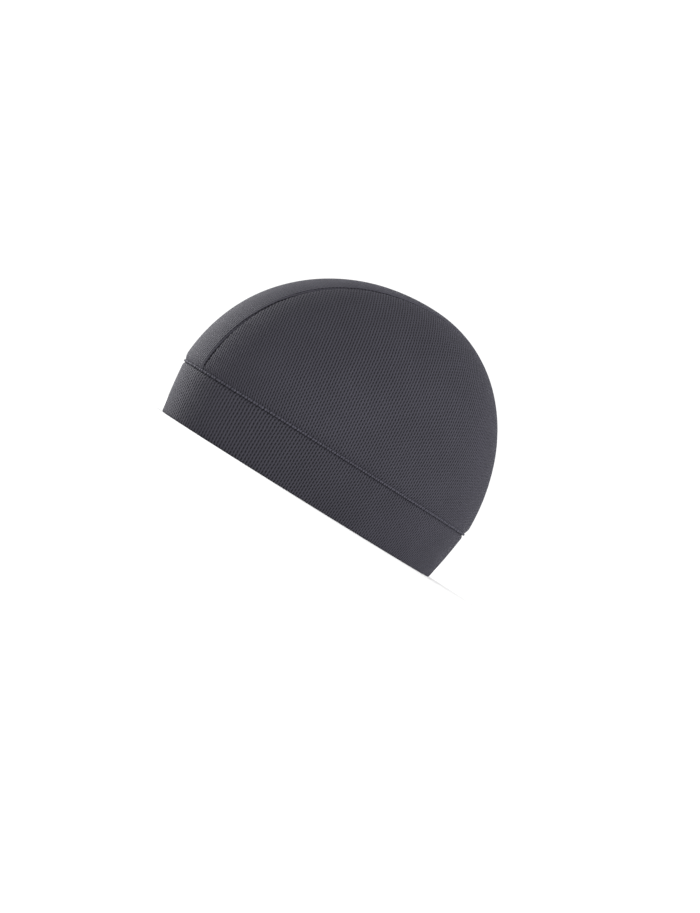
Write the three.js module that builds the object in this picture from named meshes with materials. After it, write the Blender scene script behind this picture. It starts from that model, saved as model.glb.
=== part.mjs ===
// A close-fitting skull beanie, sewn from thin stretch mesh cloth.
// Millimetres, +Z up. The forehead is towards -X and the wearer's left towards -Y.
// The origin is the middle of the opening, in the plane of the band's fold.

import * as THREE from 'three';
import { mergeVertices } from 'three/addons/utils/BufferGeometryUtils.js';

// Driving dimensions
const rimLength = 200;          // outside of the fold, forehead to nape
const rimWidth = 153;           // outside of the fold, temple to temple
const bandHeight = 34;          // fold to crown seam
const bandFlare = 5.0;          // how far the band leans outwards from fold to seam
const bandThickness = 2.2;      // two layers of cloth
const foldRadius = 0.5;         // rounding of the fold's two lower edges
const crownHeight = 111;        // seam to highest point
const crownOverhang = 1.0;      // how far the crown swells past the band's top
const crownThickness = 1.0;     // one layer of cloth
const topSetback = 14;          // highest point, behind the middle of the rim
const domeRoundness = 2.06;     // 2 is an ellipsoid, more is squarer
const stripWidthAtBand = 52;    // centre strip where it meets the band
const stripWidthAtTop = 44;     // centre strip at the highest point
const seamGap = 0.3;            // clearance between sewn pieces
const bandSeamDip = 0.8;        // how deep the cloth rolls in at the band seam
const bandSeamRoll = 6;         // height over which it rolls in
const stripSeamDip = 0.5;       // how deep the cloth rolls in at the strip seams
const stripSeamRoll = 3;        // distance over which it rolls in

// Mesh density
const stepsOverTop = 40;
const stepsAroundRim = 96;

// Rows of a side panel, as shares of the way from the strip seam to the band seam
const sideRows = [0, 0.012, 0.04, 0.12, 0.22, 0.32, 0.42, 0.52, 0.62, 0.72, 0.82, 0.9, 0.95, 0.98, 1];
// Rows of the centre strip, as shares of its half-width either side of the middle
const stripRows = [-1, -0.96, -0.86, -0.5, 0, 0.5, 0.86, 0.96, 1];

// The band's outer wall: shares of its height, and how much of the seam's dip is reached there
const bandRows = [
  { up: 0.33, dipped: 0 },
  { up: 0.66, dipped: 0 },
  { up: 0.92, dipped: 0 },
  { up: 0.97, dipped: 0.35 },
  { up: 1, dipped: 1 },
];

const cloth = {
  crown: new THREE.MeshStandardMaterial({ color: 0x424148, roughness: 0.85, metalness: 0 }),
  strip: new THREE.MeshStandardMaterial({ color: 0x55555c, roughness: 0.85, metalness: 0 }),
  band: new THREE.MeshStandardMaterial({ color: 0x3f3e45, roughness: 0.85, metalness: 0 }),
};

// The crown's outer surface above the seam is a rounded box of three half-axes
const crownHalfWidth = rimWidth / 2 + bandFlare + crownOverhang;
const crownHalfLength = rimLength / 2 + bandFlare + crownOverhang;
const reach = { front: crownHalfLength + topSetback, back: crownHalfLength - topSetback };
const centre = new THREE.Vector3(topSetback, 0, bandHeight);

function alongReach(x) {
  return x < 0 ? reach.front : reach.back;
}

function onCrown(direction) {
  const shares = [
    Math.abs(direction.x) / alongReach(direction.x),
    Math.abs(direction.y) / crownHalfWidth,
    Math.abs(direction.z) / crownHeight,
  ];
  const sum = shares.reduce((total, share) => total + share ** domeRoundness, 0);
  return direction.clone().multiplyScalar(sum ** (-1 / domeRoundness));
}

function crownNormal(point) {
  const power = domeRoundness - 1;
  const slope = (value, half) => Math.sign(value) * Math.abs(value / half) ** power / half;
  return new THREE.Vector3(
    slope(point.x, alongReach(point.x)),
    slope(point.y, crownHalfWidth),
    slope(point.z, crownHeight),
  ).normalize();
}

// Half the strip's width at an angle over the top, 0 at the front seam and pi at the back
function stripHalfWidth(angle) {
  const rise = Math.sin(angle);
  return (stripWidthAtBand + (stripWidthAtTop - stripWidthAtBand) * rise) / 2;
}

// The point of the crown at an angle over the top and a distance y from its middle line
function overTop(angle, y) {
  const shrink = (1 - Math.abs(y / crownHalfWidth) ** domeRoundness) ** (1 / domeRoundness);
  const profile = onCrown(new THREE.Vector3(-Math.cos(angle), 0, Math.sin(angle)));
  return new THREE.Vector3(profile.x * shrink, y, profile.z * shrink);
}

// How far the cloth dips near a seam
function dip(distance, depth, roll) {
  return distance < roll ? depth * (1 - distance / roll) ** 2 : 0;
}

function crownDip(height, toStripSeam) {
  return Math.max(
    dip(height, bandSeamDip + crownOverhang, bandSeamRoll),
    dip(toStripSeam, stripSeamDip, stripSeamRoll),
  );
}

// A sheet of cloth: a grid of outer points, each with its inner partner, closed round its edges
function sheet(columns, rows, placeAt) {
  const slab = new THREE.BoxGeometry(1, 1, 1, columns, rows, 1);
  const places = slab.attributes.position;
  for (let i = 0; i < places.count; i += 1) {
    const column = Math.round((places.getX(i) + 0.5) * columns);
    const row = Math.round((places.getY(i) + 0.5) * rows);
    const point = placeAt(column, row, places.getZ(i) > 0);
    places.setXYZ(i, point.x, point.y, point.z);
  }
  return closed(slab);
}

// Shared corners merged and the triangles that shrank to a line dropped
function closed(shape) {
  shape.deleteAttribute('normal');
  shape.deleteAttribute('uv');
  const merged = mergeVertices(shape, 1e-4);
  const corners = Array.from(merged.index.array);
  const kept = [];
  for (let i = 0; i < corners.length; i += 3) {
    const [a, b, c] = corners.slice(i, i + 3);
    if (a !== b && b !== c && c !== a) kept.push(a, b, c);
  }
  merged.setIndex(kept);
  merged.computeVertexNormals();
  return merged;
}

function clothPoint(point, toStripSeam, outer) {
  const depth = crownDip(point.z, toStripSeam) + (outer ? 0 : crownThickness);
  return point.clone().addScaledVector(crownNormal(point), -depth).add(centre);
}

function centreStrip() {
  const rows = stripRows.length - 1;
  return sheet(stepsOverTop, rows, (column, row, outer) => {
    const angle = Math.PI * column / stepsOverTop;
    const half = stripHalfWidth(angle) - seamGap / 2;
    const y = stripRows[row] * half;
    return clothPoint(overTop(angle, y), half - Math.abs(y), outer);
  });
}

// A side panel fills the crown from the strip's edge down to the band seam
function sidePanel(side) {
  const rows = sideRows.length - 1;
  return sheet(stepsOverTop, rows, (column, row, outer) => {
    const share = side < 0 ? 1 - column / stepsOverTop : column / stepsOverTop;
    const angle = Math.PI * share;
    const upper = overTop(angle, side * (stripHalfWidth(angle) + seamGap / 2));
    const corner = stripHalfWidth(0) + seamGap / 2;
    const lower = seamPoint(share, corner).multiply(new THREE.Vector3(1, side, 1));
    const start = upper.clone().normalize();
    const turn = new THREE.Quaternion().setFromUnitVectors(start, lower.normalize());
    const partTurn = new THREE.Quaternion().slerp(turn, sideRows[row]);
    const point = onCrown(start.applyQuaternion(partTurn));
    point.z = Math.max(point.z, 0);
    return clothPoint(point, point.distanceTo(upper), outer);
  });
}

// A point of the crown's lower edge, from the front corner of a side panel to its back corner
function seamPoint(share, corner) {
  const frontCorner = overTop(0, corner);
  const backCorner = overTop(Math.PI, corner);
  const start = Math.atan2(frontCorner.y, -frontCorner.x);
  const end = Math.PI - Math.atan2(backCorner.y, backCorner.x);
  const angle = start + (end - start) * share;
  return onCrown(new THREE.Vector3(-Math.cos(angle), Math.sin(angle), 0));
}

// The band's outer wall: its rim follows the same oval as the crown's edge, smaller all round
function bandWall(angle, height) {
  const edge = onCrown(new THREE.Vector3(Math.cos(angle), Math.sin(angle), 0));
  const normal = crownNormal(edge);
  const lean = crownOverhang + bandFlare * (1 - height / bandHeight);
  return { point: edge.addScaledVector(normal, -lean), normal };
}

// The band's section, from the fold up the outside and down the inside: depth is measured
// inwards from the outer wall, height up from the fold
function bandSection() {
  const top = bandHeight - seamGap;
  return [
    { depth: foldRadius, height: 0 },
    { depth: 0, height: foldRadius },
    ...bandRows.map(({ up, dipped }) => ({ depth: bandSeamDip * dipped, height: top * up })),
    { depth: bandThickness, height: top },
    { depth: bandThickness, height: foldRadius },
    { depth: bandThickness - foldRadius, height: 0 },
  ];
}

function headband() {
  const laidRadius = 2 * bandThickness;
  const profile = bandSection().map(({ depth, height }) => (
    new THREE.Vector2(laidRadius - depth, height)
  ));
  const ring = new THREE.LatheGeometry([...profile, profile[0].clone()], stepsAroundRim);
  const places = ring.attributes.position;
  for (let i = 0; i < places.count; i += 1) {
    const radius = Math.hypot(places.getX(i), places.getZ(i));
    const angle = Math.atan2(places.getX(i), places.getZ(i));
    const height = places.getY(i);
    const { point, normal } = bandWall(angle, height);
    point.addScaledVector(normal, radius - laidRadius);
    places.setXYZ(i, point.x + centre.x, point.y, height);
  }
  return closed(ring);
}

function piece(name, shape, material) {
  const mesh = new THREE.Mesh(shape, material);
  mesh.name = name;
  return mesh;
}

const cap = new THREE.Group();
cap.name = 'skull_beanie';
cap.add(
  piece('crown_centre_panel', centreStrip(), cloth.strip),
  piece('crown_side_panel_left', sidePanel(-1), cloth.crown),
  piece('crown_side_panel_right', sidePanel(1), cloth.crown),
  piece('headband', headband(), cloth.band),
);

export default cap;
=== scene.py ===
"""A close-fitting skull beanie sewn from thin eyelet mesh cloth, standing on its band."""

import math

import bmesh
import bpy
from bpy.props import FloatProperty, FloatVectorProperty, IntProperty, PointerProperty
from mathutils import Matrix, Quaternion, Vector, noise


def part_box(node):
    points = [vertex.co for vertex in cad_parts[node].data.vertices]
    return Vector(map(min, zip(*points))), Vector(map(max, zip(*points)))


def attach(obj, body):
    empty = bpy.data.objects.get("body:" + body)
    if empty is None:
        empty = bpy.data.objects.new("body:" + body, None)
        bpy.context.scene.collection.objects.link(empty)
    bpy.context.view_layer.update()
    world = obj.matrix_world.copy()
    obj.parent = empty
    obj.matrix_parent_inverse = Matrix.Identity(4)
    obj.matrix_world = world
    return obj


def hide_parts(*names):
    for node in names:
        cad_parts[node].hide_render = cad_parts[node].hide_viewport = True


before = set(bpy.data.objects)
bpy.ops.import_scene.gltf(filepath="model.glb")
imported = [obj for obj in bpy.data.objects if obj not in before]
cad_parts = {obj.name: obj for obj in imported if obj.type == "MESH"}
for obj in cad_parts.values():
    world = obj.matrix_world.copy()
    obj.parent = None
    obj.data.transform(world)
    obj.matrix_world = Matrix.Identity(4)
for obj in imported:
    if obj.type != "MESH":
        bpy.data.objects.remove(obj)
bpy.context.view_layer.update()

bl_info = {
    "name": "Skull beanie",
    "version": (1, 0, 0),
    "blender": (4, 5, 0),
    "location": "3D View > Sidebar > Beanie",
    "description": "Builds a skull beanie in mesh cloth round its packed solids",
    "category": "Object",
}

STRIP_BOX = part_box("crown_centre_panel")
SEAM_LEVEL = STRIP_BOX[0][2]
SIDES = {"left": -1, "right": 1}


# Sizes and colours

class BeanieSizes(bpy.types.PropertyGroup):
    """Sizes of the cap in metres, as its solids have them but for deeper dips at the seams."""

    rim_length: FloatProperty(
        name="Rim length", description="Outside of the fold from forehead to nape",
        default=0.200, subtype="DISTANCE", unit="LENGTH")
    rim_width: FloatProperty(
        name="Rim width", description="Outside of the fold from temple to temple",
        default=0.153, subtype="DISTANCE", unit="LENGTH")
    band_flare: FloatProperty(
        name="Band flare", description="How far the band leans outwards from fold to seam",
        default=0.0050, precision=4, subtype="DISTANCE", unit="LENGTH")
    band_thickness: FloatProperty(
        name="Band thickness", description="Two layers of cloth",
        default=0.0022, precision=4, subtype="DISTANCE", unit="LENGTH")
    crown_height: FloatProperty(
        name="Crown height", description="Band seam to highest point",
        default=STRIP_BOX[1][2] - SEAM_LEVEL, subtype="DISTANCE", unit="LENGTH")
    crown_overhang: FloatProperty(
        name="Crown overhang", description="How far the crown swells past the band's top",
        default=0.0010, precision=4, subtype="DISTANCE", unit="LENGTH")
    crown_thickness: FloatProperty(
        name="Crown thickness", description="One layer of cloth",
        default=0.0010, precision=4, subtype="DISTANCE", unit="LENGTH")
    top_setback: FloatProperty(
        name="Top setback", description="Highest point, behind the middle of the rim",
        default=0.014, subtype="DISTANCE", unit="LENGTH")
    dome_roundness: FloatProperty(
        name="Dome roundness", description="2 is an ellipsoid, more is squarer", default=2.06)
    strip_at_band: FloatProperty(
        name="Strip width at band", description="Centre strip where it meets the band",
        default=0.052, subtype="DISTANCE", unit="LENGTH")
    strip_at_top: FloatProperty(
        name="Strip width at top", description="Centre strip at the highest point",
        default=0.044, subtype="DISTANCE", unit="LENGTH")
    seam_gap: FloatProperty(
        name="Seam gap", description="Clearance between sewn pieces",
        default=0.0003, precision=4, subtype="DISTANCE", unit="LENGTH")
    band_seam_dip: FloatProperty(
        name="Band seam dip", description="How deep the cloth rolls in at the band seam",
        default=0.0012, precision=4, subtype="DISTANCE", unit="LENGTH")
    band_seam_roll: FloatProperty(
        name="Band seam roll", description="Height over which it rolls in",
        default=0.006, precision=4, subtype="DISTANCE", unit="LENGTH")
    strip_seam_dip: FloatProperty(
        name="Strip seam dip", description="How deep the cloth rolls in at the strip seams",
        default=0.0010, precision=4, subtype="DISTANCE", unit="LENGTH")
    strip_seam_roll: FloatProperty(
        name="Strip seam roll", description="Distance over which it rolls in",
        default=0.0018, precision=4, subtype="DISTANCE", unit="LENGTH")
    stitch_pitch: FloatProperty(
        name="Stitch pitch", description="Distance from one stitch to the next",
        default=0.0026, precision=4, subtype="DISTANCE", unit="LENGTH")
    pucker_depth: FloatProperty(
        name="Pucker depth", description="Height of the small gathers along the seams",
        default=0.00022, precision=5, subtype="DISTANCE", unit="LENGTH")
    around_steps: IntProperty(
        name="Steps around", description="Mesh steps round the band", default=560, min=48)
    over_steps: IntProperty(
        name="Steps over", description="Mesh steps over the crown", default=250, min=24)


class BeanieColours(bpy.types.PropertyGroup):
    """Colours and mesh of the cloth."""

    cloth: FloatVectorProperty(
        name="Cloth", description="Charcoal ground of the mesh cloth", subtype="COLOR",
        size=3, min=0, max=1, default=(0.0262, 0.0252, 0.0325))
    thread: FloatVectorProperty(
        name="Thread", description="Sewing thread", subtype="COLOR",
        size=3, min=0, max=1, default=(0.032, 0.031, 0.038))
    floor: FloatVectorProperty(
        name="Floor", description="Pale studio floor", subtype="COLOR",
        size=3, min=0, max=1, default=(0.96, 0.96, 0.96))
    eyelet_across: FloatProperty(
        name="Eyelet spacing across", description="From one column of eyelets to the next",
        default=0.0017, precision=4, subtype="DISTANCE", unit="LENGTH")
    eyelet_along: FloatProperty(
        name="Eyelet spacing along", description="From one eyelet to the next in its column",
        default=0.0024, precision=4, subtype="DISTANCE", unit="LENGTH")


def sizes():
    return bpy.context.scene.beanie_sizes


def colours():
    return bpy.context.scene.beanie_colours


# Small forms of the sewn cloth, in metres but for the slice of noise that shapes the puckers

PUCKER_LENGTH = 0.0021
PUCKER_REACH = 0.012
PUCKER_SLICE = 3.7
SOFT_DEPTH = 0.00018
SOFT_LENGTH = 0.035
GATHERS_FADE = {"crown": 0.0045, "strip": 0.0030, "band": 0.004, "fold": 0.003}


# Form of the cap: the same rounded dome and leaning band as the solids have

def crown_axes():
    s = sizes()
    swell = s.band_flare + s.crown_overhang
    half_length = s.rim_length / 2 + swell
    half_width = s.rim_width / 2 + swell
    front = half_length + s.top_setback
    back = half_length - s.top_setback
    return front, back, half_width, s.crown_height


def crown_centre():
    return Vector((sizes().top_setback, 0, SEAM_LEVEL))


def on_crown(direction):
    front, back, half_width, height = crown_axes()
    roundness = sizes().dome_roundness
    along = front if direction.x < 0 else back
    total = (abs(direction.x / along) ** roundness
             + abs(direction.y / half_width) ** roundness
             + abs(direction.z / height) ** roundness)
    return direction * total ** (-1 / roundness)


def crown_normal(point):
    front, back, half_width, height = crown_axes()
    power = sizes().dome_roundness - 1
    along = front if point.x < 0 else back

    def slope(value, half):
        return math.copysign(abs(value / half) ** power / half, value)

    return Vector((slope(point.x, along), slope(point.y, half_width),
                   slope(point.z, height))).normalized()


def strip_half_width(angle):
    s = sizes()
    return (s.strip_at_band + (s.strip_at_top - s.strip_at_band) * math.sin(angle)) / 2


def over_top(angle, y):
    half_width = crown_axes()[2]
    roundness = sizes().dome_roundness
    shrink = (1 - abs(y / half_width) ** roundness) ** (1 / roundness)
    profile = on_crown(Vector((-math.cos(angle), 0, max(math.sin(angle), 0))))
    return Vector((profile.x * shrink, y, profile.z * shrink))


def seam_point(share, side):
    """A point of the crown's lower edge between the two corners of a side panel."""
    corner = strip_half_width(0) + sizes().seam_gap / 2
    front_corner = over_top(0, corner)
    back_corner = over_top(math.pi, corner)
    start = math.atan2(front_corner.y, -front_corner.x)
    end = math.pi - math.atan2(back_corner.y, back_corner.x)
    angle = start + (end - start) * share
    return on_crown(Vector((-math.cos(angle), side * math.sin(angle), 0)))


def on_strip_seam(angle, side):
    return over_top(angle, side * strip_half_width(angle))


def along_strip_seam(angle, side):
    """Direction of the strip's seam, from the forehead over the top."""
    step = 0.01
    return (on_strip_seam(angle + step, side) - on_strip_seam(angle, side)).normalized()


def girth_of(length, width):
    """Way round an oval of a length and a width."""
    return 2 * math.pi * math.sqrt((length ** 2 + width ** 2) / 8)


def over_crown(start, end, steps=6):
    """Distance over the crown's surface from the ray start to the ray end."""
    turn = start.rotation_difference(end)
    before = on_crown(start)
    length = 0.0
    for i in range(1, steps + 1):
        after = on_crown(Quaternion().slerp(turn, i / steps) @ start)
        length += (after - before).length
        before = after
    return length


def dip(distance, depth, roll):
    return depth * (1 - distance / roll) ** 2 if distance < roll else 0.0


def gathers(run, distance, fade):
    """Small uneven puckers that die away from a seam."""
    wave = noise.noise(Vector((run / PUCKER_LENGTH, PUCKER_SLICE, distance / PUCKER_REACH)))
    return sizes().pucker_depth * wave * math.exp(-distance / fade)


def cloth_depth(point, to_strip, run):
    """How far under the smooth crown the cloth lies at a point."""
    s = sizes()
    at_band = dip(point.z, s.band_seam_dip + s.crown_overhang, s.band_seam_roll)
    at_strip = dip(to_strip, s.strip_seam_dip, s.strip_seam_roll)
    soft = SOFT_DEPTH * noise.noise(point / SOFT_LENGTH)
    return (max(at_band, at_strip) + gathers(run, point.z, GATHERS_FADE["crown"])
            + gathers(point.x + point.z, to_strip, GATHERS_FADE["strip"]) + soft)


def place_on_crown(point, to_strip, run):
    return point - crown_normal(point) * cloth_depth(point, to_strip, run) + crown_centre()


def band_wall(angle, height):
    """Outer wall of the band at an angle round the rim, and its outward direction."""
    s = sizes()
    edge = on_crown(Vector((math.cos(angle), math.sin(angle), 0)))
    outward = crown_normal(edge)
    lean = s.crown_overhang + s.band_flare * (1 - height / SEAM_LEVEL)
    place = edge - outward * lean + Vector((s.top_setback, 0, height))
    return place, outward


# Mesh tools

def link(thing):
    bpy.context.scene.collection.objects.link(thing)


def new_piece(name, mesh_builder, material, body="root"):
    """Make an object from a bmesh, give it its finish and let it ride on the body."""
    mesh = bpy.data.meshes.new(name)
    mesh_builder.to_mesh(mesh)
    mesh_builder.free()
    mesh.materials.append(material)
    for polygon in mesh.polygons:
        polygon.use_smooth = True
    piece = bpy.data.objects.new(name, mesh)
    link(piece)
    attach(piece, body)
    return piece


def cloth_grid(columns, rows, place_at, closed=False):
    """A grid moved onto the cap; place_at gives a point's place there and on the flat cloth."""
    same_place = 1e-6
    sliver = 1e-7
    grid = bmesh.new()
    bmesh.ops.create_grid(grid, x_segments=columns, y_segments=rows, size=0.5)
    weave = grid.loops.layers.uv.new("Weave")
    laid = {}
    for vertex in grid.verts:
        column = round((vertex.co.x + 0.5) * columns)
        row = round((vertex.co.y + 0.5) * rows)
        point, flat = place_at(column, row)
        vertex.co = point
        laid[vertex.index] = flat
    for face in grid.faces:
        for loop in face.loops:
            loop[weave].uv = laid[loop.vert.index]
    if closed:
        bmesh.ops.remove_doubles(grid, verts=grid.verts, dist=same_place)
    bmesh.ops.dissolve_degenerate(grid, edges=grid.edges, dist=sliver)
    if closed:
        bmesh.ops.recalc_face_normals(grid, faces=grid.faces)
    return grid


def thicken(piece, thickness):
    wall = piece.modifiers.new("Wall", "SOLIDIFY")
    wall.thickness = thickness
    wall.offset = -1
    wall.use_even_offset = False


def row_shares(count, crowding):
    """Shares from 0 to 1 that crowd towards both ends."""
    shares = []
    for i in range(count + 1):
        t = i / count
        eased = (1 - math.cos(math.pi * t)) / 2
        shares.append(t + (eased - t) * crowding)
    return shares


# Finishes

# How light each cloth is painted beside the cap's own colour: the strip a little lighter, the
# band a little darker, and the welt much lighter as a painted highlight along its roll
CLOTH_TONES_AND_PAINTED_HIGHLIGHT = {"strip_mesh_cloth": 1.04, "side_mesh_cloth": 1.0, "band_mesh_cloth": 0.98,
               "welt_painted_highlight_cloth": 1.5}

# The values between which noise nearly always lies
NOISE_RANGE = (0.3, 0.7)


class Shading:
    """One material, with short names for the sums that its nodes work out."""

    def __init__(self, name):
        self.material = bpy.data.materials.new(name)
        self.material.use_nodes = True
        self.tree = self.material.node_tree
        self.surface = self.tree.nodes["Principled BSDF"].inputs

    def node(self, kind, **settings):
        made = self.tree.nodes.new(kind)
        for key, value in settings.items():
            setattr(made, key, value)
        return made

    def give(self, socket, value):
        """Give a socket a constant of its own or a link from another node."""
        if isinstance(value, bpy.types.NodeSocket):
            self.tree.links.new(value, socket)
        else:
            socket.default_value = value

    def feed(self, sockets, **values):
        for key, value in values.items():
            self.give(sockets[key.replace("_", " ")], value)

    def maths(self, operation, *values):
        made = self.node("ShaderNodeMath", operation=operation)
        for socket, value in zip(made.inputs, values):
            self.give(socket, value)
        return made.outputs[0]

    def plus(self, first, second):
        return self.maths("ADD", first, second)

    def times(self, first, second):
        return self.maths("MULTIPLY", first, second)

    def blend(self, *parts):
        """Sum of values, each times its own weight."""
        total = self.times(*parts[0])
        for value, weight in parts[1:]:
            total = self.plus(total, self.times(value, weight))
        return total

    def ease(self, value, low, high, to_low, to_high):
        """Lead a value from one range into another along a soft S."""
        made = self.node("ShaderNodeMapRange", interpolation_type="SMOOTHSTEP")
        self.feed(made.inputs, Value=value, From_Min=low, From_Max=high,
                  To_Min=to_low, To_Max=to_high)
        return made.outputs["Result"]

    def vector(self, operation, *values, **named):
        made = self.node("ShaderNodeVectorMath", operation=operation)
        for socket, value in zip(made.inputs, values):
            self.give(socket, value)
        self.feed(made.inputs, **named)
        return made.outputs[0]

    def noise(self, place, scale, detail=2, roughness=0.5):
        made = self.node("ShaderNodeTexNoise")
        self.feed(made.inputs, Vector=place, Scale=scale, Detail=detail, Roughness=roughness)
        return made.outputs

    def colour(self, base, share):
        """One base colour, made lighter and darker by a share."""
        tint = self.vector("SCALE", tuple(base), Scale=share)
        self.feed(self.surface, Base_Color=tint)

    def relief(self, height, distance, strength=1.0):
        made = self.node("ShaderNodeBump")
        self.feed(made.inputs, Strength=strength, Distance=distance, Height=height)
        self.feed(self.surface, Normal=made.outputs[0])


def wavering(cloth, place):
    """Where a point lies across and along the columns, which never run quite straight."""
    wavers_per_metre = 140
    reach = 0.0009
    shift = cloth.vector("SCALE", cloth.noise(place, wavers_per_metre)["Color"], Scale=reach)
    split = cloth.node("ShaderNodeSeparateXYZ")
    cloth.give(split.inputs[0], cloth.vector("ADD", place, shift))
    return split.outputs[0], split.outputs[1]


def eyelets(cloth, across, along):
    """Slits staggered from column to column, and the ridges that stand between columns. Their
    masks shape the relief, the painted shade in the slits and the painted highlight on the
    ridges.
    """
    half_slit_across = 1 / 4.4
    half_slit_along = 1 / 2.2
    slit_floor = 0.25
    ridge_foot = 0.28
    column_at = cloth.maths("DIVIDE", across, colours().eyelet_across)
    row_at = cloth.maths("DIVIDE", along, colours().eyelet_along)
    stagger = cloth.times(cloth.maths("FLOOR", column_at), 0.5)
    in_column = cloth.maths("SUBTRACT", cloth.maths("FRACT", column_at), 0.5)
    in_row = cloth.maths("SUBTRACT", cloth.maths("FRACT", cloth.plus(row_at, stagger)), 0.5)
    off_across = cloth.maths("DIVIDE", in_column, half_slit_across)
    off_along = cloth.maths("DIVIDE", in_row, half_slit_along)
    spread = cloth.plus(cloth.times(off_across, off_across), cloth.times(off_along, off_along))
    slit = cloth.ease(spread, slit_floor, 1.0, 1.0, 0.0)
    ridge = cloth.ease(cloth.maths("ABSOLUTE", in_column), ridge_foot, 0.5, 0.0, 1.0)
    return slit, ridge


def knitted(cloth, across, along):
    """Fine ribs and the knitted loops along them."""
    ribs_per_column = 3
    loops_per_eyelet = 4
    lean = 0.9
    ribs = cloth.times(across, 2 * math.pi * ribs_per_column / colours().eyelet_across)
    loops = cloth.times(along, 2 * math.pi * loops_per_eyelet / colours().eyelet_along)
    rib_wave = cloth.maths("SINE", ribs)
    loop_wave = cloth.maths("SINE", cloth.plus(loops, cloth.times(rib_wave, lean)))
    return cloth.blend((rib_wave, 0.5), (loop_wave, 0.35))


def mesh_cloth(name):
    """Eyelet mesh jersey: columns of staggered slits between fine knitted ribs. The slits are
    painted darker as painted shade seen through the holes, and the ridges between the columns
    are painted lighter as a painted highlight.
    """
    # Colour weights: ridge is a painted highlight, slit is painted shade, knit is the knit's own
    # pattern.
    light = {"knit": 0.08, "ridge": 0.75, "slit": 0.74}
    height = {"slit": -1.0, "knit": 0.16, "ridge": 0.45, "fuzz": 0.12}
    cloth = Shading(name)
    place = cloth.node("ShaderNodeUVMap", uv_map="Weave").outputs[0]
    across, along = wavering(cloth, place)
    slit, ridge = eyelets(cloth, across, along)
    knit = knitted(cloth, across, along)
    bloom = cloth.noise(place, scale=26, detail=5, roughness=0.6)["Fac"]
    fuzz = cloth.noise(place, scale=1500, detail=3)["Fac"]

    ground = cloth.plus(cloth.ease(bloom, *NOISE_RANGE, 0.92, 1.08),
                        cloth.ease(fuzz, *NOISE_RANGE, -0.10, 0.10))
    # Painted highlight: the ridges between the columns are painted lighter, on top of the
    # cloth's random tone and knit pattern.
    ribbed_with_painted_highlight = cloth.blend((ground, 1.0), (knit, light["knit"]), (ridge, light["ridge"]))
    # Painted shade: the slits are painted darker, standing in for the shade seen through the
    # holes.
    painted_shade_in_slits = cloth.maths("SUBTRACT", 1.0, cloth.times(slit, light["slit"]))
    # Each piece's copy of the cloth is lighter or darker by its tone; the welt's much lighter
    # copy is a painted highlight.
    tinted = [CLOTH_TONES_AND_PAINTED_HIGHLIGHT[name] * value for value in colours().cloth]
    cloth.colour(tinted, cloth.times(ribbed_with_painted_highlight, painted_shade_in_slits))
    raised = cloth.blend((slit, height["slit"]), (knit, height["knit"]),
                         (ridge, height["ridge"]), (fuzz, height["fuzz"]))
    cloth.relief(raised, distance=0.00035)
    cloth.feed(cloth.surface, Roughness=cloth.ease(slit, 0.0, 1.0, 0.78, 0.95),
               Sheen_Weight=0.07, Sheen_Roughness=0.30, Sheen_Tint=(0.74, 0.73, 0.95, 1),
               Specular_IOR_Level=0.15)
    return cloth.material


def thread_finish(name):
    """Plied polyester thread with a fine twist."""
    thread = Shading(name)
    place = thread.node("ShaderNodeTexCoord").outputs["Object"]
    wave = thread.node("ShaderNodeTexWave", wave_type="BANDS", bands_direction="DIAGONAL")
    thread.feed(wave.inputs, Vector=place, Scale=900, Distortion=1.5)
    twist = wave.outputs["Fac"]
    thread.colour(colours().thread, thread.ease(twist, 0.0, 1.0, 0.7, 1.25))
    thread.relief(twist, distance=0.0001, strength=0.5)
    thread.feed(thread.surface, Roughness=0.55, Sheen_Weight=0.3)
    return thread.material


def floor_finish(name):
    """Smooth pale paper, a very little uneven in its tone."""
    floor = Shading(name)
    place = floor.node("ShaderNodeTexCoord").outputs["Object"]
    grain = floor.noise(place, scale=8)["Fac"]
    floor.colour(colours().floor, floor.ease(grain, *NOISE_RANGE, 0.995, 1.005))
    floor.feed(floor.surface, Roughness=0.9, Specular_IOR_Level=0.1)
    return floor.material


FINISHES = {}


def finish(name, maker):
    if name not in FINISHES:
        FINISHES[name] = maker(name)
    return FINISHES[name]


# Operators, one for each group of pieces

class BEANIE_OT_centre_strip(bpy.types.Operator):
    """Make the strip of cloth that runs over the top from front to back"""

    bl_idname = "beanie.centre_strip"
    bl_label = "Centre strip"

    def execute(self, context):
        s = sizes()
        columns = s.over_steps
        rows = 44
        crowding = 0.75
        shares = [2 * share - 1 for share in row_shares(rows, crowding)]
        run_at = [0.0]
        for column in range(columns):
            step = (over_top(math.pi * (column + 1) / columns, 0)
                    - over_top(math.pi * column / columns, 0)).length
            run_at.append(run_at[-1] + step)

        def place_at(column, row):
            angle = math.pi * column / columns
            half = strip_half_width(angle) - s.seam_gap / 2
            y = shares[row] * half
            placed = place_on_crown(over_top(angle, y), half - abs(y), y)
            return placed, (y, run_at[column])

        cloth = cloth_grid(columns, rows, place_at)
        piece = new_piece("centre_strip_cloth", cloth,
                          finish("strip_mesh_cloth", mesh_cloth))
        thicken(piece, s.crown_thickness)
        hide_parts("crown_centre_panel")
        return {"FINISHED"}


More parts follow.
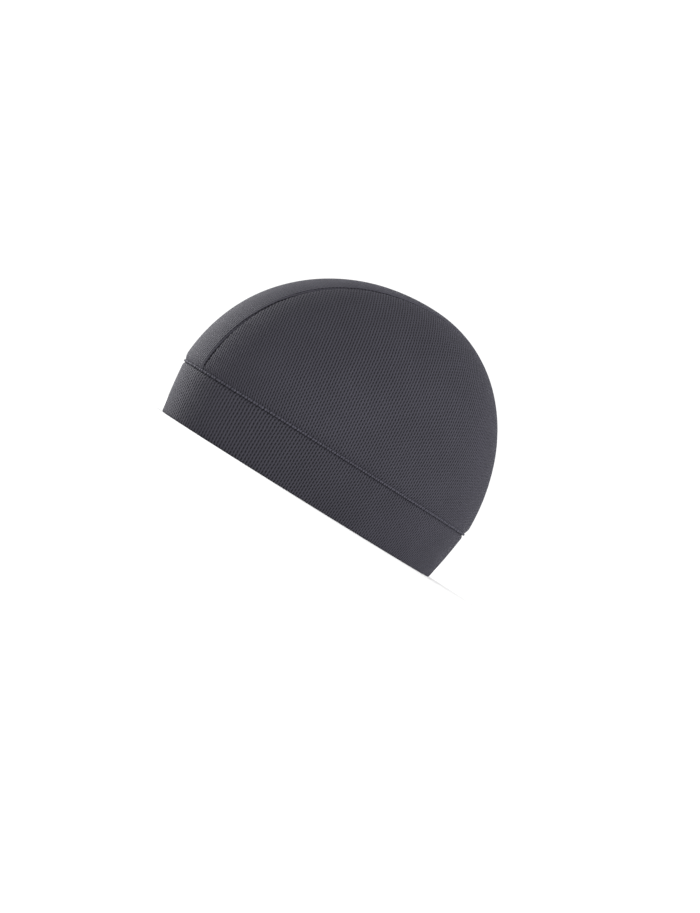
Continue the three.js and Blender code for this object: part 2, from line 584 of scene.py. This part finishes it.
class BEANIE_OT_side_panels(bpy.types.Operator):
    """Make the two side panels of the crown"""

    bl_idname = "beanie.side_panels"
    bl_label = "Side panels"

    def execute(self, context):
        for name, side in SIDES.items():
            self.side_panel(name, side)
        return {"FINISHED"}

    def side_panel(self, name, side):
        s = sizes()
        columns = s.over_steps
        rows = 84
        crowding = 0.8
        shares = row_shares(rows, crowding)
        rise = 0.62
        facing = Vector((0, side, rise)).normalized()
        along = Vector((1, 0, 0))
        upward = facing.cross(along) * side

        def place_at(column, row):
            share = 1 - column / columns if side < 0 else column / columns
            angle = math.pi * share
            upper = over_top(angle, side * (strip_half_width(angle) + s.seam_gap / 2))
            lower = seam_point(share, side)
            start = upper.normalized()
            turn = start.rotation_difference(lower.normalized())
            part = Quaternion().slerp(turn, shares[row])
            point = on_crown(part @ start)
            point.z = max(point.z, 0)
            placed = place_on_crown(point, (point - upper).length, lower.x)
            ray = point.normalized()
            flat = (ray - facing * ray.dot(facing)).normalized() * over_crown(facing, ray)
            return placed, (flat.dot(along), flat.dot(upward))

        cloth = cloth_grid(columns, rows, place_at)
        piece = new_piece("side_panel_cloth_" + name, cloth,
                          finish("side_mesh_cloth", mesh_cloth))
        thicken(piece, s.crown_thickness)
        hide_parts("crown_side_panel_" + name)


class BEANIE_OT_headband(bpy.types.Operator):
    """Make the folded double band round the opening"""

    bl_idname = "beanie.headband"
    bl_label = "Headband"

    def section(self):
        """The band's wall as depth inwards and height, up the outside and down the inside."""
        s = sizes()
        top = SEAM_LEVEL - s.seam_gap
        radius = s.band_thickness / 2
        roll = s.band_seam_roll * 0.4
        pillow = 0.0003
        outside = []
        for share in row_shares(count=26, crowding=0.7):
            height = radius + (top - radius) * share
            rolled = dip(top - height, s.band_seam_dip, roll)
            outside.append((rolled - pillow * math.sin(math.pi * share), height))
        inside = [(s.band_thickness, radius + (top - radius) * (1 - share))
                  for share in row_shares(count=14, crowding=0.5)]
        fold_steps = 10
        fold = []
        for i in range(1, fold_steps):
            turn = math.pi * i / fold_steps
            fold.append((radius + radius * math.cos(turn), radius - radius * math.sin(turn)))
        return outside + inside + fold + [outside[0]]

    def execute(self, context):
        s = sizes()
        columns = s.around_steps
        section = self.section()
        pair = 2 * colours().eyelet_across
        girth = pair * round(girth_of(s.rim_length, s.rim_width) / pair)
        join = 0.004
        steps = [0.0]
        for before, after in zip(section, section[1:]):
            steps.append(steps[-1] + math.hypot(after[0] - before[0], after[1] - before[1]))

        def place_at(column, row):
            angle = 2 * math.pi * column / columns
            depth, height = section[row]
            point, outward = band_wall(angle, height)
            run = girth * column / columns
            soft = (gathers(run, SEAM_LEVEL - height, GATHERS_FADE["band"])
                    + 0.5 * gathers(run, height, GATHERS_FADE["fold"]))
            soft *= min(1, run / join, (girth - run) / join)
            return point - outward * (depth + soft), (run, steps[row])

        cloth = cloth_grid(columns, len(section) - 1, place_at, closed=True)
        piece = new_piece("headband_cloth", cloth,
                          finish("band_mesh_cloth", mesh_cloth))
        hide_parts("headband")
        return {"FINISHED"}


class BEANIE_OT_band_seam(bpy.types.Operator):
    """Make the raised welt between crown and band and the stitches above it"""

    bl_idname = "beanie.band_seam"
    bl_label = "Band seam"

    def execute(self, context):
        s = sizes()
        girth = girth_of(s.rim_length + 2 * s.band_flare, s.rim_width + 2 * s.band_flare)
        stitches = round(girth / s.stitch_pitch)
        self.welt(stitches)
        self.stitches(stitches)
        return {"FINISHED"}

    def seam_place(self, angle, depth, height):
        point, outward = band_wall(angle, SEAM_LEVEL)
        return point - outward * depth + Vector((0, 0, height)), outward

    def welt(self, stitches):
        """A narrow roll of cloth, drawn in at each stitch, its cloth painted much lighter as a
        painted highlight along the roll.
        """
        columns = sizes().around_steps * 2
        rows = 8
        half_high = 0.00080
        half_deep = 0.00070
        drawn_in = 0.4
        middle_depth = sizes().band_seam_dip * 0.3
        middle_height = 0.0005
        mean_radius = 0.09
        row_length = 0.0004

        def place_at(column, row):
            angle = 2 * math.pi * column / columns
            turn = -2 * math.pi * row / rows
            pulled = 1 - drawn_in * max(0, math.cos(angle * stitches)) ** 3
            depth = middle_depth - half_deep * pulled * math.cos(turn)
            height = middle_height + half_high * pulled * math.sin(turn)
            point = self.seam_place(angle, depth, height)[0]
            return point, (angle * mean_radius, row * row_length)

        welt = cloth_grid(columns, rows, place_at, closed=True)
        # The welt's cloth is the cap's own mesh cloth painted much lighter: a painted highlight
        # on the roll.
        new_piece("band_seam_welt", welt, finish("welt_painted_highlight_cloth", mesh_cloth))

    def stitches(self, stitches):
        dipped = sizes().band_seam_dip
        low_end = {"depth": dipped * 0.5, "height": 0.0012}
        high_end = {"depth": dipped * 0.35, "height": 0.0026}
        slant = 0.35
        sewn = []
        for i in range(stitches):
            angle = 2 * math.pi * (i + 0.5) / stitches
            slanted = angle + slant * 2 * math.pi / stitches
            low = self.seam_place(angle, **low_end)[0]
            high, outward = self.seam_place(slanted, **high_end)
            sewn.append(stitch(low, high, outward))
        sew("band_seam_stitches", sewn)


def stitch(start, end, outward, thickness=0.0002):
    """Where one short bar of thread lies, as the matrix of its rounded body."""
    axis = (end - start).normalized()
    across = outward.cross(axis).normalized()
    basis = Matrix((axis, across, axis.cross(across))).transposed().to_4x4()
    half = (end - start).length / 2 + thickness
    return (Matrix.Translation((start + end) / 2) @ basis
            @ Matrix.Diagonal((half, thickness, thickness, 1))
            @ Matrix.Rotation(math.pi / 2, 4, "Y"))


def sew(name, stitches):
    """Make one piece of many bars of thread, each shaped by itself and then joined on."""
    threads = bmesh.new()
    bar = bpy.data.meshes.new(name + "_bar")
    for place in stitches:
        shape = bmesh.new()
        bmesh.ops.create_uvsphere(shape, u_segments=6, v_segments=5, radius=1, matrix=place)
        shape.to_mesh(bar)
        shape.free()
        threads.from_mesh(bar)
    bpy.data.meshes.remove(bar)
    new_piece(name, threads, finish("sewing_thread", thread_finish))


class BEANIE_OT_strip_seams(bpy.types.Operator):
    """Make the stitches that join the centre strip to the side panels"""

    bl_idname = "beanie.strip_seams"
    bl_label = "Strip seams"

    def execute(self, context):
        for name, side in SIDES.items():
            sewn = [self.stitch_at(angle, side) for angle in self.stitch_angles(side)]
            sew("strip_seam_stitches_" + name, sewn)
        return {"FINISHED"}

    def stitch_angles(self, side):
        """Angles over the top that lie one stitch apart, clear of the band's welt."""
        steps = 4000
        clear = 0.002
        angles = []
        run = 0.0
        before = on_strip_seam(0, side)
        for i in range(1, steps):
            angle = math.pi * i / steps
            point = on_strip_seam(angle, side)
            run += (point - before).length
            before = point
            if run < sizes().stitch_pitch:
                continue
            run = 0.0
            if point.z >= clear:
                angles.append(angle)
        return angles

    def stitch_at(self, angle, side):
        half_length = 0.0007
        slant = 0.0004
        point = on_strip_seam(angle, side)
        outward = crown_normal(point)
        seat = point - outward * sizes().strip_seam_dip + crown_centre()
        along = along_strip_seam(angle, side)
        sideways = along.cross(outward)
        start = seat - sideways * half_length
        end = seat + sideways * half_length + along * slant
        return stitch(start, end, outward)


def flat_ridge(columns, line_at, half_wide, half_deep, ring=False):
    """A low rounded ridge along a line; line_at gives place, sideways and inward directions."""
    rows = 10
    end_share = 0.004
    laid_length = 0.5

    def place_at(column, row):
        share = column / columns
        centre, sideways, inward = line_at(share)
        taper = 1 if ring else min(1, share / end_share, (1 - share) / end_share) ** 0.5
        turn = 2 * math.pi * row / rows
        place = (centre + sideways * half_wide * taper * math.cos(turn)
                 + inward * half_deep * taper * math.sin(turn))
        return place, (share * laid_length, turn * half_wide)

    return cloth_grid(columns, rows, place_at, closed=True)


def overlock(count, line_at, half_wide, half_deep):
    """Zigzag stitches over the face of a ridge."""
    reach = half_wide * 0.8
    edge_height = half_deep * 0.75
    crest_height = half_deep * 1.08
    sewn = []
    for i in range(count):
        centre, sideways, inward = line_at((i + 0.25) / count)
        after, sideways_after, inward_after = line_at((i + 0.75) / count)
        low = centre - sideways * reach + inward * edge_height
        high = after + sideways_after * reach + inward_after * edge_height
        crest = (centre + after) / 2 + inward * crest_height
        sewn += [stitch(low, crest, inward), stitch(crest, high, inward)]
    return sewn


class BEANIE_OT_inner_seams(bpy.types.Operator):
    """Make the overlocked seam edges inside the crown"""

    bl_idname = "beanie.inner_seams"
    bl_label = "Inner seams"

    half_wide = 0.0021
    half_deep = 0.0006
    stitches_round_band = 300
    stitches_over_strip = 140

    def execute(self, context):
        s = sizes()
        ridge = (self.half_wide, self.half_deep)
        shape = flat_ridge(s.around_steps, self.band_line, *ridge, ring=True)
        new_piece("band_seam_allowance", shape, finish("band_mesh_cloth", mesh_cloth))
        sewn = overlock(self.stitches_round_band, self.band_line, *ridge)
        for name, side in SIDES.items():
            line = self.strip_line(side)
            shape = flat_ridge(s.over_steps, line, *ridge)
            new_piece("strip_seam_allowance_" + name, shape,
                      finish("strip_mesh_cloth", mesh_cloth))
            sewn += overlock(self.stitches_over_strip, line, *ridge)
        sew("overlock_threads", sewn)
        return {"FINISHED"}

    def band_line(self, share):
        """The ridge over the band seam stands just inside the crown's lowest cloth."""
        clearance = 0.0001
        below_seam = 0.0005
        point, outward = band_wall(2 * math.pi * share, SEAM_LEVEL)
        inset = sizes().crown_thickness + self.half_deep + clearance
        upward = Vector((0, 0, 1))
        place = point - outward * inset + upward * (self.half_wide - below_seam)
        return place, upward, -outward

    def strip_line(self, side):
        """The ridge over a strip seam is pressed a little into the cloth, so no light passes."""
        s = sizes()
        start = 0.012
        pressed = 0.0004
        depth = s.crown_thickness + s.strip_seam_dip + self.half_deep - pressed

        def line(share):
            angle = start + (math.pi - 2 * start) * share
            point = on_strip_seam(angle, side)
            inward = -crown_normal(point)
            sideways = along_strip_seam(angle, side).cross(inward)
            return point + inward * depth + crown_centre(), sideways, inward

        return line


# Stage

LIGHTS = (
    {"name": "front_key", "azimuth": -145, "elevation": 6, "distance": 1.2,
     "size": 0.45, "power": 22},
    {"name": "side_fill", "azimuth": 14, "elevation": 1, "distance": 1.6,
     "size": 0.9, "power": 39},
)


def towards(azimuth, elevation):
    """Unit vector from the cap towards a place given in degrees, 0 being the wearer's left."""
    turn = math.radians(azimuth)
    rise = math.radians(elevation)
    return Vector((math.sin(turn) * math.cos(rise), -math.cos(turn) * math.cos(rise),
                   math.sin(rise)))


class BEANIE_OT_stage(bpy.types.Operator):
    """Make the pale floor, the soft studio light and the camera"""

    bl_idname = "beanie.stage"
    bl_label = "Stage"

    def execute(self, context):
        context.scene.view_settings.view_transform = "Standard"
        self.floor()
        self.world(context.scene)
        for light in LIGHTS:
            self.area(**light)
        self.camera(context.scene)
        return {"FINISHED"}

    def floor(self):
        squares = 8
        reach = 6.0
        plane = bmesh.new()
        bmesh.ops.create_grid(plane, x_segments=squares, y_segments=squares, size=reach)
        mesh = bpy.data.meshes.new("studio_floor")
        plane.to_mesh(mesh)
        plane.free()
        mesh.materials.append(finish("studio_floor", floor_finish))
        floor = bpy.data.objects.new("studio_floor", mesh)
        link(floor)

    def world(self, scene):
        world = bpy.data.worlds.new("pale_studio")
        world.use_nodes = True
        background = world.node_tree.nodes["Background"]
        background.inputs["Color"].default_value = (1, 1, 1, 1)
        background.inputs["Strength"].default_value = 1.08
        scene.world = world

    def area(self, name, azimuth, elevation, distance, size, power):
        light = bpy.data.lights.new(name, "AREA")
        light.shape = "SQUARE"
        light.size = size
        light.energy = power
        lamp = bpy.data.objects.new(name, light)
        aim = Vector((0, 0, 0.07))
        back = towards(azimuth, elevation)
        lamp.location = aim + back * distance
        lamp.rotation_euler = back.to_track_quat("Z", "Y").to_euler()
        link(lamp)

    def camera(self, scene):
        """Look along the photo's line at the cap, tipped as there, from just above the floor."""
        azimuth = -17
        elevation = -2
        roll = math.radians(32)
        distance = 1.5
        frame_wide = 700
        frame_high = 913
        pixels_per_metre = 1585
        cap_pixel = (357, 396)
        aim = Vector((0, 0, 0.073))
        lens = bpy.data.cameras.new("photo_view")
        camera = bpy.data.objects.new("photo_view", lens)
        lens.sensor_fit = "VERTICAL"
        lens.sensor_height = 24
        lens.lens = lens.sensor_height * distance * pixels_per_metre / frame_high
        lens.shift_x = (frame_wide / 2 - cap_pixel[0]) / frame_high
        lens.shift_y = (cap_pixel[1] - frame_high / 2) / frame_high
        back = towards(azimuth, elevation)
        looking = back.to_track_quat("Z", "Y") @ Quaternion((0, 0, 1), roll)
        camera.location = aim + back * distance
        camera.rotation_euler = looking.to_euler()
        link(camera)
        scene.camera = camera


class BEANIE_PT_panel(bpy.types.Panel):
    """Sizes, colours and makers of the beanie"""

    bl_idname = "BEANIE_PT_panel"
    bl_label = "Skull beanie"
    bl_space_type = "VIEW_3D"
    bl_region_type = "UI"
    bl_category = "Beanie"

    def draw(self, context):
        layout = self.layout
        for group in (context.scene.beanie_sizes, context.scene.beanie_colours):
            box = layout.box()
            for name in group.__annotations__:
                box.prop(group, name)
        for operator in OPERATORS:
            layout.operator(operator.bl_idname)


OPERATORS = (BEANIE_OT_centre_strip, BEANIE_OT_side_panels, BEANIE_OT_headband,
             BEANIE_OT_band_seam, BEANIE_OT_strip_seams, BEANIE_OT_inner_seams,
             BEANIE_OT_stage)
CLASSES = (BeanieSizes, BeanieColours) + OPERATORS + (BEANIE_PT_panel,)


def register():
    for cls in CLASSES:
        bpy.utils.register_class(cls)
    bpy.types.Scene.beanie_sizes = PointerProperty(type=BeanieSizes)
    bpy.types.Scene.beanie_colours = PointerProperty(type=BeanieColours)


def unregister():
    del bpy.types.Scene.beanie_colours
    del bpy.types.Scene.beanie_sizes
    for cls in reversed(CLASSES):
        bpy.utils.unregister_class(cls)


def main():
    register()
    bpy.ops.beanie.stage()
    bpy.ops.beanie.centre_strip()
    bpy.ops.beanie.side_panels()
    bpy.ops.beanie.headband()
    bpy.ops.beanie.band_seam()
    bpy.ops.beanie.strip_seams()
    bpy.ops.beanie.inner_seams()


if __name__ == "__main__":
    main()
